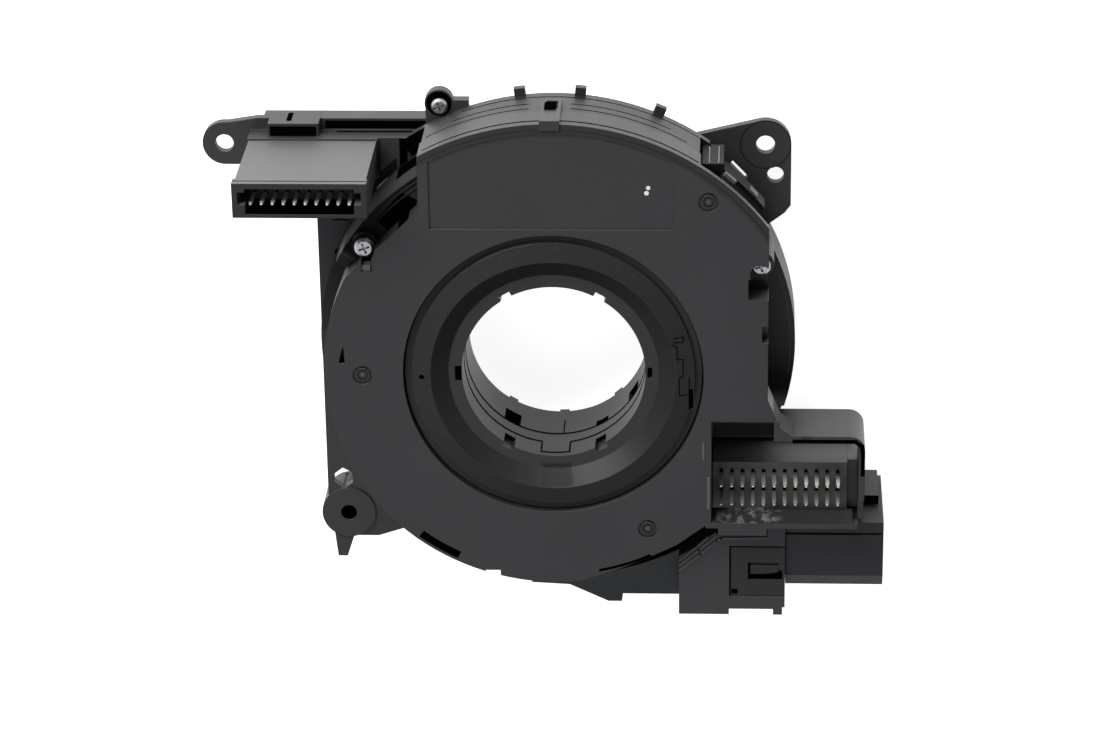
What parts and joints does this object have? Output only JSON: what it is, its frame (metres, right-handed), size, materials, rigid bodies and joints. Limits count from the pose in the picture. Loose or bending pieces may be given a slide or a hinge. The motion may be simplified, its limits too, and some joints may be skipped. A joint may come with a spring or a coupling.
{
  "type": "steering clock spring",
  "caption": "Round steering column clock spring with a central bore, a turning centre ring, two pin connectors, a lower electronics housing and mounting ears.",
  "frame": {"origin": "on the bore axis at the rear rest plane", "axes": "+Z along the bore axis out of the front face, +X towards the larger connector, +Y towards the large rounded rim and the smaller connector"},
  "size_m": [0.163, 0.1327, 0.042],
  "materials": {
    "cover_plastic": "fine matte",
    "case_plastic": "matte",
    "rotor_plastic": "satin",
    "grey_plastic": "matte",
    "pin_metal": "tin-plated",
    "screw_steel": "zinc-plated",
    "board": "coated",
    "chip": "matte",
    "magnet": "ground",
    "gear_plastic": "natural",
    "ribbon": "smooth film"
  },
  "bodies": {
    "housing": {"front_cover": "cover_plastic", "cover_stakes": "case_plastic", "case_body": "case_plastic", "rear_cover": "case_plastic", "flat_cable": "ribbon", "outer_terminal": "grey_plastic", "sensor_carrier": "case_plastic", "left_connector_pins": "pin_metal", "left_connector_shell": "cover_plastic", "right_connector_pins": "pin_metal", "right_header": "case_plastic", "circuit_board": "board", "angle_chips": "chip", "control_chip": "chip", "electronics_housing": "cover_plastic", "block_latch_cover": "cover_plastic", "stalk_socket": "cover_plastic", "rear_lid": "case_plastic", "case_screws": "screw_steel", "ear_screw": "screw_steel"},
    "rotor": {"rotor_flange": "rotor_plastic", "rotor_sleeve": "rotor_plastic", "rotor_rear_ring": "rotor_plastic", "drive_gear_ring": "gear_plastic", "inner_terminal": "grey_plastic"},
    "first_wheel": {"first_pinion": "gear_plastic", "first_magnet": "magnet"},
    "second_wheel": {"second_pinion": "gear_plastic", "second_magnet": "magnet"}
  },
  "joints": [
    {"name": "rotor_turn", "type": "hinge", "parent": "housing", "child": "rotor", "pos_m": [0, 0, 0.019], "axis": [0, 0, 1], "range_deg": [-900, 900]},
    {"name": "first_wheel_spin", "type": "hinge", "parent": "housing", "child": "first_wheel", "pos_m": [0.03429, -0.0198, 0.0047], "axis": [0, 0, 1], "range_deg": [-2815, 2815]},
    {"name": "second_wheel_spin", "type": "hinge", "parent": "housing", "child": "second_wheel", "pos_m": [0.01261, -0.0388, 0.0047], "axis": [0, 0, 1], "range_deg": [-2502, 2502]}
  ],
  "couplings": [
    {"joint": "first_wheel_spin", "follows": "rotor_turn", "ratio": -3.125},
    {"joint": "second_wheel_spin", "follows": "rotor_turn", "ratio": -2.7778}
  ]
}
